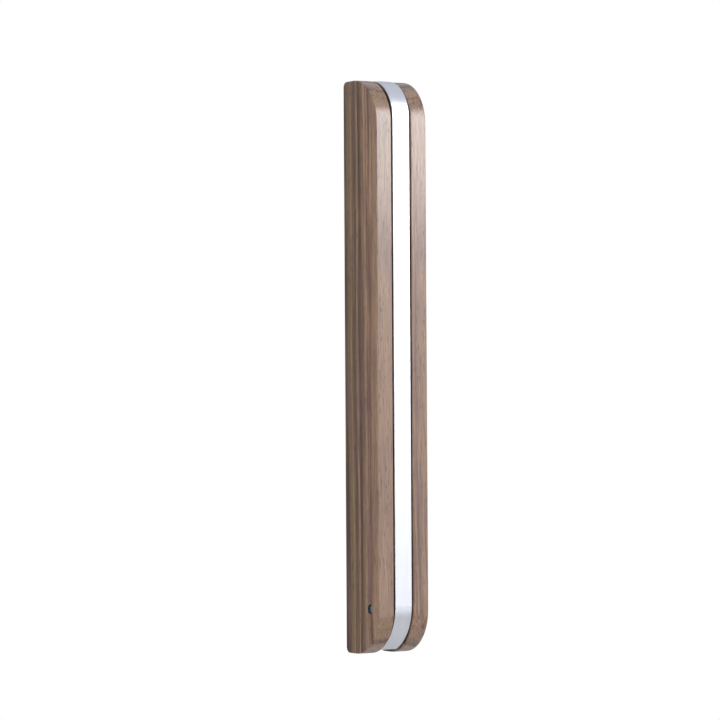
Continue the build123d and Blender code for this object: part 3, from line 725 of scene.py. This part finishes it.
class PRESS_OT_felts(bpy.types.Operator):
    """Cut and glue the two felt strips, one on the band and one on the press bar"""

    bl_idname = "trouser_press.felts"
    bl_label = "Make the Felt Strips"

    def execute(self, context):
        sizes = context.scene.press_sizes
        material = felt()
        nap = bpy.data.textures.new("felt_nap", "CLOUDS")
        nap.noise_scale = 5 * MM
        nap.noise_depth = 3
        for cad_name, body, backing in (
            ("band_felt", "arm", "arm_band"), ("bar_felt", "press_bar", "press_bar")
        ):
            low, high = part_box(cad_name)
            width, thick, length = high - low
            deselect()
            bpy.ops.mesh.primitive_grid_add(
                x_subdivisions=round(width / sizes.felt_cell),
                y_subdivisions=round(length / sizes.felt_cell),
                size=1.0,
                location=(low + high) / 2,
                rotation=(math.pi / 2, 0, 0),
            )
            strip = context.object
            strip.name = f"{cad_name}_strip"
            strip.scale = (width, length, 1.0)
            bpy.ops.object.transform_apply(location=True, rotation=True, scale=True)

            # The corners are rounded before the strip has its thickness.
            bpy.ops.object.mode_set(mode="EDIT")
            bpy.ops.mesh.select_all(action="DESELECT")
            bpy.ops.mesh.select_mode(type="VERT")
            bpy.ops.object.mode_set(mode="OBJECT")
            for vertex in strip.data.vertices:
                across = min(vertex.co.x - low.x, high.x - vertex.co.x)
                up = min(vertex.co.z - low.z, high.z - vertex.co.z)
                vertex.select = across < CORNER_REACH and up < CORNER_REACH
            bpy.ops.object.mode_set(mode="EDIT")
            bpy.ops.mesh.bevel(
                offset=min(sizes.felt_corner, CORNER_LIMIT * sizes.felt_cell), segments=4, affect="VERTICES"
            )
            bpy.ops.object.mode_set(mode="OBJECT")

            wall = strip.modifiers.new("thickness", "SOLIDIFY")
            wall.thickness = thick
            wall.offset = 0.0
            edge = strip.modifiers.new("edge", "BEVEL")
            edge.width = sizes.felt_edge
            edge.segments = 3
            edge.limit_method = "ANGLE"
            uneven = strip.modifiers.new("nap", "DISPLACE")
            uneven.texture = nap
            uneven.texture_coords = "LOCAL"
            uneven.strength = sizes.felt_nap
            uneven.mid_level = 0.75
            for modifier in ("thickness", "edge", "nap"):
                bpy.ops.object.modifier_apply(modifier=modifier)
            bpy.ops.object.mode_set(mode="EDIT")
            bpy.ops.mesh.select_all(action="SELECT")
            bpy.ops.mesh.normals_make_consistent(inside=False)
            bpy.ops.object.mode_set(mode="OBJECT")
            bpy.ops.object.shade_smooth()
            bpy.context.scene.cursor.location = (0, 0, 0)
            bpy.ops.object.origin_set(type="ORIGIN_CURSOR")
            strip.data.materials.append(material)
            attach(strip, body)
            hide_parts(cad_name)
        return {"FINISHED"}


# ---- stage ----------------------------------------------------------------------------------------------


def direction(azimuth, elevation):
    """The way from the press towards an azimuth, counted from straight in front, and an elevation."""
    return Vector(
        (
            math.sin(azimuth) * math.cos(elevation),
            -math.cos(azimuth) * math.cos(elevation),
            math.sin(elevation),
        )
    )


def softbox(name, azimuth, elevation, distance, width, height, radiance):
    """A rectangular light that faces the press."""
    lamp = bpy.data.lights.new(name, "AREA")
    lamp.shape = "RECTANGLE"
    lamp.size = width
    lamp.size_y = height
    lamp.energy = radiance * math.pi * width * height
    holder = bpy.data.objects.new(name, lamp)
    bpy.context.scene.collection.objects.link(holder)
    towards = direction(math.radians(azimuth), math.radians(elevation))
    holder.location = towards * distance
    holder.rotation_euler = towards.to_track_quat("Z", "Y").to_euler()
    holder.visible_camera = False


class PRESS_OT_stage(bpy.types.Operator):
    """Set up the camera, the soft studio light and the plain pale floor"""

    bl_idname = "trouser_press.stage"
    bl_label = "Set the Stage"

    def execute(self, context):
        scene = context.scene
        stage = scene.press_stage
        scene.view_settings.view_transform = "Standard"

        # The camera looks almost level from the front left, through a long lens.
        forward = -direction(stage.camera_azimuth, -stage.camera_pitch)
        right = forward.cross(Vector((0, 0, 1))).normalized()
        up = right.cross(forward)
        turned = Matrix.Rotation(stage.camera_roll, 3, forward)
        data = bpy.data.cameras.new("camera")
        data.lens = stage.camera_lens
        data.sensor_width = 36.0
        data.clip_end = 100.0
        camera = bpy.data.objects.new("camera", data)
        scene.collection.objects.link(camera)
        axes = Matrix((turned @ right, turned @ up, -forward)).transposed()
        camera.matrix_world = Matrix.Translation(
            Vector(stage.camera_aim) - forward * stage.camera_distance
        ) @ axes.to_4x4()
        scene.camera = camera

        # A tall softbox at the front right, a white panel below it, and soft lights at the left and behind.
        softbox("key_softbox", *SOFTBOXES["key_softbox"], stage.key_radiance)
        softbox("white_panel", *SOFTBOXES["white_panel"], stage.panel_radiance)
        softbox("left_softbox", *SOFTBOXES["left_softbox"], stage.left_radiance)
        softbox("back_softbox", *SOFTBOXES["back_softbox"], stage.back_radiance)

        # The room: brighter above than in front or behind, and white where the camera looks at it.
        world = bpy.data.worlds.new("studio")
        scene.world = world
        world.use_nodes = True
        tree = world.node_tree
        tree.nodes.clear()
        way = add_node(tree, "ShaderNodeTexCoord").outputs["Generated"]
        parts = add_node(tree, "ShaderNodeSeparateXYZ", {"Vector": way})
        room = add_node(
            tree,
            "ShaderNodeMapRange",
            {
                VALUE: parts.outputs["Y"],
                FROM_LOW: -0.7,
                FROM_HIGH: 0.7,
                TO_LOW: stage.room_radiance,
                TO_HIGH: stage.wall_radiance,
            },
        )
        above = add_node(
            tree,
            "ShaderNodeMapRange",
            {VALUE: parts.outputs["Z"], FROM_LOW: 0.15, FROM_HIGH: 0.7, TO_LOW: 0.0, TO_HIGH: 1.0},
        )
        room = add_node(
            tree,
            "ShaderNodeMix",
            {MIX_FACTOR: above.outputs[0], MIX_NUMBER_A: room.outputs[0], MIX_NUMBER_B: stage.sky_radiance},
            data_type="FLOAT",
        )
        tint = add_node(
            tree,
            "ShaderNodeMix",
            {MIX_FACTOR: above.outputs[0], MIX_A: (1, 1, 1, 1), MIX_B: (0.93, 0.96, 1.0, 1)},
            data_type="RGBA",
        )
        seen = add_node(tree, "ShaderNodeLightPath").outputs["Is Camera Ray"]
        strength = add_node(tree, "ShaderNodeMath", {0: room.outputs[0], 1: seen}, operation="MAXIMUM")
        white = add_node(
            tree,
            "ShaderNodeMix",
            {MIX_FACTOR: seen, MIX_A: tint.outputs[MIX_RESULT], MIX_B: (1, 1, 1, 1)},
            data_type="RGBA",
        )
        light = add_node(
            tree,
            "ShaderNodeBackground",
            {"Color": white.outputs[MIX_RESULT], "Strength": strength.outputs[0]},
        )
        add_node(tree, "ShaderNodeOutputWorld", {"Surface": light.outputs["Background"]})

        # The floor fades out towards its rim, so that it shows no edge.
        deselect()
        bpy.ops.mesh.primitive_circle_add(
            vertices=96, radius=stage.floor_radius, fill_type="NGON", location=(0, 0, -stage.floor_drop)
        )
        floor = context.object
        floor.name = "floor"
        bpy.ops.object.transform_apply(location=True, rotation=True, scale=True)
        material, tree, shader = start_material("floor_painted_matt")
        shader.inputs["Roughness"].default_value = 0.8
        speckle = add_node(
            tree,
            "ShaderNodeTexNoise",
            {"Vector": in_mm(tree, cell=(30.0, 30.0, 30.0)), "Scale": 1.0, "Detail": 4.0},
        )
        tint = add_node(
            tree,
            "ShaderNodeValToRGB",
            {"Fac": speckle.outputs[0]},
            stops=[(0.3, [c * 0.98 for c in scene.press_colours.floor]), (0.7, scene.press_colours.floor)],
        )
        tree.links.new(tint.outputs["Color"], shader.inputs["Base Color"])
        spot = add_node(tree, "ShaderNodeTexCoord").outputs["Object"]
        level = add_node(tree, "ShaderNodeVectorMath", {0: spot, 1: (1, 1, 0)}, operation="MULTIPLY")
        away = add_node(tree, "ShaderNodeVectorMath", {0: level.outputs["Vector"]}, operation="LENGTH")
        alpha = add_node(
            tree,
            "ShaderNodeMapRange",
            {
                VALUE: away.outputs["Value"],
                FROM_LOW: 0.4 * stage.floor_radius,
                FROM_HIGH: stage.floor_radius,
                TO_LOW: 1.0,
                TO_HIGH: 0.0,
            },
            interpolation_type="SMOOTHSTEP",
        )
        tree.links.new(alpha.outputs[0], shader.inputs["Alpha"])
        floor.data.materials.append(material)
        return {"FINISHED"}


# ---- add-on ---------------------------------------------------------------------------------------------


class PRESS_PT_sidebar(bpy.types.Panel):
    """The steps and the settings of the trouser press"""

    bl_label = "Trouser Press"
    bl_idname = "PRESS_PT_sidebar"
    bl_space_type = "VIEW_3D"
    bl_region_type = "UI"
    bl_category = "Trouser Press"

    def draw(self, context):
        for step in STEPS:
            self.layout.operator(step.bl_idname)
        for title, settings in (
            ("Colours", context.scene.press_colours),
            ("Sizes", context.scene.press_sizes),
            ("Stage", context.scene.press_stage),
        ):
            box = self.layout.box()
            box.label(text=title)
            for name in type(settings).__annotations__:
                box.prop(settings, name)


STEPS = (PRESS_OT_stage, PRESS_OT_walnut, PRESS_OT_metalwork, PRESS_OT_plastics, PRESS_OT_felts)
CLASSES = (PressColours, PressSizes, StageSettings, *STEPS, PRESS_PT_sidebar)


def register():
    for cls in CLASSES:
        bpy.utils.register_class(cls)
    bpy.types.Scene.press_colours = PointerProperty(type=PressColours)
    bpy.types.Scene.press_sizes = PointerProperty(type=PressSizes)
    bpy.types.Scene.press_stage = PointerProperty(type=StageSettings)


def unregister():
    del bpy.types.Scene.press_stage
    del bpy.types.Scene.press_sizes
    del bpy.types.Scene.press_colours
    for cls in reversed(CLASSES):
        bpy.utils.unregister_class(cls)


def main():
    register()
    bpy.ops.trouser_press.stage()
    bpy.ops.trouser_press.walnut()
    bpy.ops.trouser_press.metalwork()
    bpy.ops.trouser_press.plastics()
    bpy.ops.trouser_press.felts()


if __name__ == "__main__":
    main()
